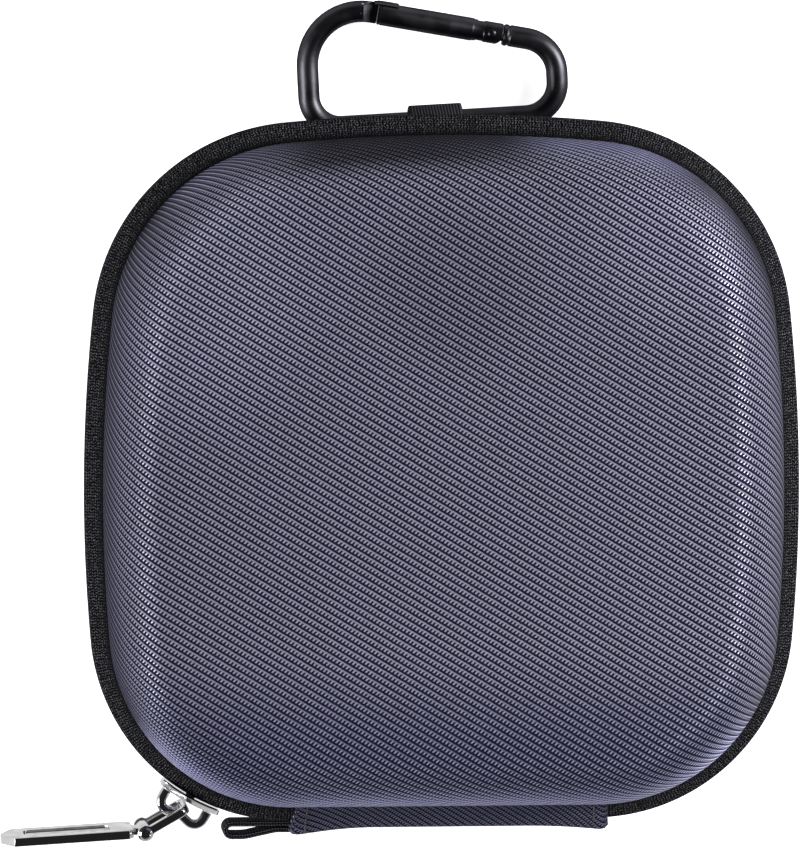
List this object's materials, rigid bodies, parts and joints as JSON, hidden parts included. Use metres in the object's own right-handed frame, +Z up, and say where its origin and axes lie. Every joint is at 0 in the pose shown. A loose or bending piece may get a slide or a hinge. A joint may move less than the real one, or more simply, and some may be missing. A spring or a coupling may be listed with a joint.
{
  "type": "lens filter case",
  "caption": "Rounded square zip-up clamshell case for photographic lens filters, with a fabric hinge, a foam tray, a net pocket, a webbing loop and a spring-gate carabiner.",
  "frame": {"origin": "middle of the back shell's flat underside, on the middle line of the outline and level with the centres of its side arcs", "axes": "+Z up through the closed case from the back shell to the lid, +Y from the hinge to the carabiner, +X to the right when seen from above with the carabiner at the top"},
  "size_m": [0.1756, 0.1844, 0.053],
  "materials": {
    "navy_weave": "coarse twill weave of dark navy ground with pale lavender floats",
    "eva_foam": "dense black moulded foam",
    "tricot_lining": "short-nap dark grey lining",
    "black_tape": "black knitted tape with a coarse rib",
    "nylon_coil": "black nylon coil",
    "soft_foam": "open-cell dark grey foam",
    "black_net": "fine black net",
    "black_webbing": "ribbed black webbing",
    "bright_nickel": "polished nickel plate",
    "black_anodised": "satin black anodised",
    "steel": "plain steel"
  },
  "bodies": {
    "back_shell": {"base_cover": "navy_weave", "base_core": "eva_foam", "base_lining": "tricot_lining", "base_binding": "black_tape", "base_zip_tape": "black_tape", "base_zip_coil": "nylon_coil", "zip_stop_left": "steel", "zip_stop_right": "steel", "spine_strip": "navy_weave", "finger_loop": "black_webbing", "foam_tray": "soft_foam"},
    "lid": {"lid_cover": "navy_weave", "lid_core": "eva_foam", "lid_lining": "tricot_lining", "lid_binding": "black_tape", "lid_zip_tape": "black_tape", "lid_zip_coil": "nylon_coil", "mesh_pocket": "black_net", "pocket_hem": "black_webbing"},
    "slider": {"zip_slider": "bright_nickel", "slider_bail": "bright_nickel"},
    "pull_link": {"pull_link": "bright_nickel", "pull_rivet": "bright_nickel"},
    "pull_tab": {"pull_tab": "bright_nickel"},
    "webbing_loop": {"webbing_loop": "black_webbing"},
    "carabiner": {"carabiner_body": "black_anodised", "gate_pin": "steel"},
    "carabiner_gate": {"carabiner_gate": "black_anodised", "gate_plunger": "steel", "gate_spring": "steel"}
  },
  "joints": [
    {"name": "lid_hinge", "type": "hinge", "parent": "back_shell", "child": "lid", "pos_m": [0, -0.0765, 0.0265], "axis": [1, 0, 0], "range_deg": [0, 180], "deforming": ["spine_strip"]},
    {"name": "zip_travel", "type": "hinge", "parent": "back_shell", "child": "slider", "pos_m": [-0.03383, -0.0293, 0.0265], "axis": [0, 0, 1], "range_deg": [-45, 0]},
    {"name": "link_swing", "type": "hinge", "parent": "slider", "child": "pull_link", "pos_m": [-0.05699, -0.06991, 0.0265], "axis": [0.0518, -0.0908, 0.9945], "range_deg": [-25, 15]},
    {"name": "tab_swing", "type": "hinge", "parent": "pull_link", "child": "pull_tab", "pos_m": [-0.06602, -0.07506, 0.0265], "axis": [0.0518, -0.0908, 0.9945], "range_deg": [-28, 35]},
    {"name": "loop_swing", "type": "hinge", "parent": "back_shell", "child": "webbing_loop", "pos_m": [0, 0.0802, 0.0209], "axis": [1, 0, 0], "range_deg": [0, 80]},
    {"name": "carabiner_swing", "type": "hinge", "parent": "webbing_loop", "child": "carabiner", "pos_m": [0, 0.0795, 0.0045], "axis": [0.9987, 0.0506, 0], "range_deg": [0, 40]},
    {"name": "gate_swing", "type": "hinge", "parent": "carabiner", "child": "carabiner_gate", "pos_m": [0.01252, 0.09916, 0.0045], "axis": [0, 0, 1], "range_deg": [0, 28], "stiffness_Nm_per_rad": 0.03, "springref_deg": -20.05}
  ]
}
